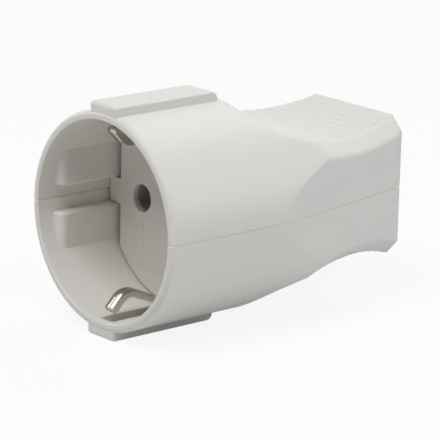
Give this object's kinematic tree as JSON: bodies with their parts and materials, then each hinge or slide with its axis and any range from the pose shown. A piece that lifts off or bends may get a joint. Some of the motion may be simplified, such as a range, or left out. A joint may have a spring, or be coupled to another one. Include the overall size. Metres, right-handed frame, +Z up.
{
  "type": "in-line power socket",
  "caption": "Rewireable in-line mains socket: round recess with earth clips for an earthed two-pin plug, screwed half shells and a ribbed grip tail with a cord inlet.",
  "frame": {"origin": "middle of the mouth of the plug recess", "axes": "+Y along the axis from the recess mouth to the cord inlet, +Z up through the upper earth clip"},
  "size_m": [0.0432, 0.0658, 0.0464],
  "materials": {
    "shell_plastic": "satin off-white moulding",
    "carrier_plastic": "satin off-white moulding",
    "contact_brass": "turned",
    "spring_steel": "bright spring strip",
    "screw_steel": "zinc plated",
    "plated_strip": "nickel plated"
  },
  "bodies": {
    "root": {"upper_shell": "shell_plastic", "lower_shell": "shell_plastic", "contact_carrier": "carrier_plastic", "live_contact": "contact_brass", "neutral_contact": "contact_brass", "live_spring_ring": "spring_steel", "neutral_spring_ring": "spring_steel", "terminal_screws": "screw_steel", "earth_bracket": "plated_strip", "earth_clamp_plate": "screw_steel", "earth_screw": "screw_steel", "cord_clamp": "carrier_plastic", "cord_clamp_screws": "screw_steel", "housing_screws": "screw_steel"}
  },
  "joints": []
}
